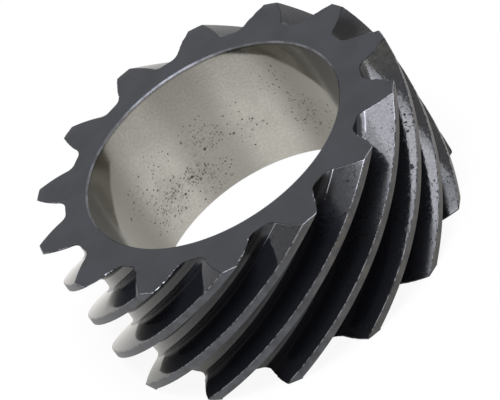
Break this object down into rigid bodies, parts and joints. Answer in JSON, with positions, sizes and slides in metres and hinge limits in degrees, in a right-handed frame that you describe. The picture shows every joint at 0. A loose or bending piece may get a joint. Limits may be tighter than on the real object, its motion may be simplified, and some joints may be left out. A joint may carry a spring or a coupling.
{
  "type": "crankshaft gear",
  "caption": "Dark steel ring gear with steep right-hand helical teeth and a plain smooth bore, pressed on a crankshaft to drive a cross shaft.",
  "frame": {"origin": "centre of the bore on the rear face, on which the gear stands", "axes": "+Z along the bore axis from the rear face to the front face; a tooth stands on +X at the front face"},
  "size_m": [0.06, 0.06, 0.0238],
  "materials": {
    "gear_steel": "dark oxidised, ground bright in the bore"
  },
  "bodies": {
    "root": {"crankshaft_gear": "gear_steel"}
  },
  "joints": []
}
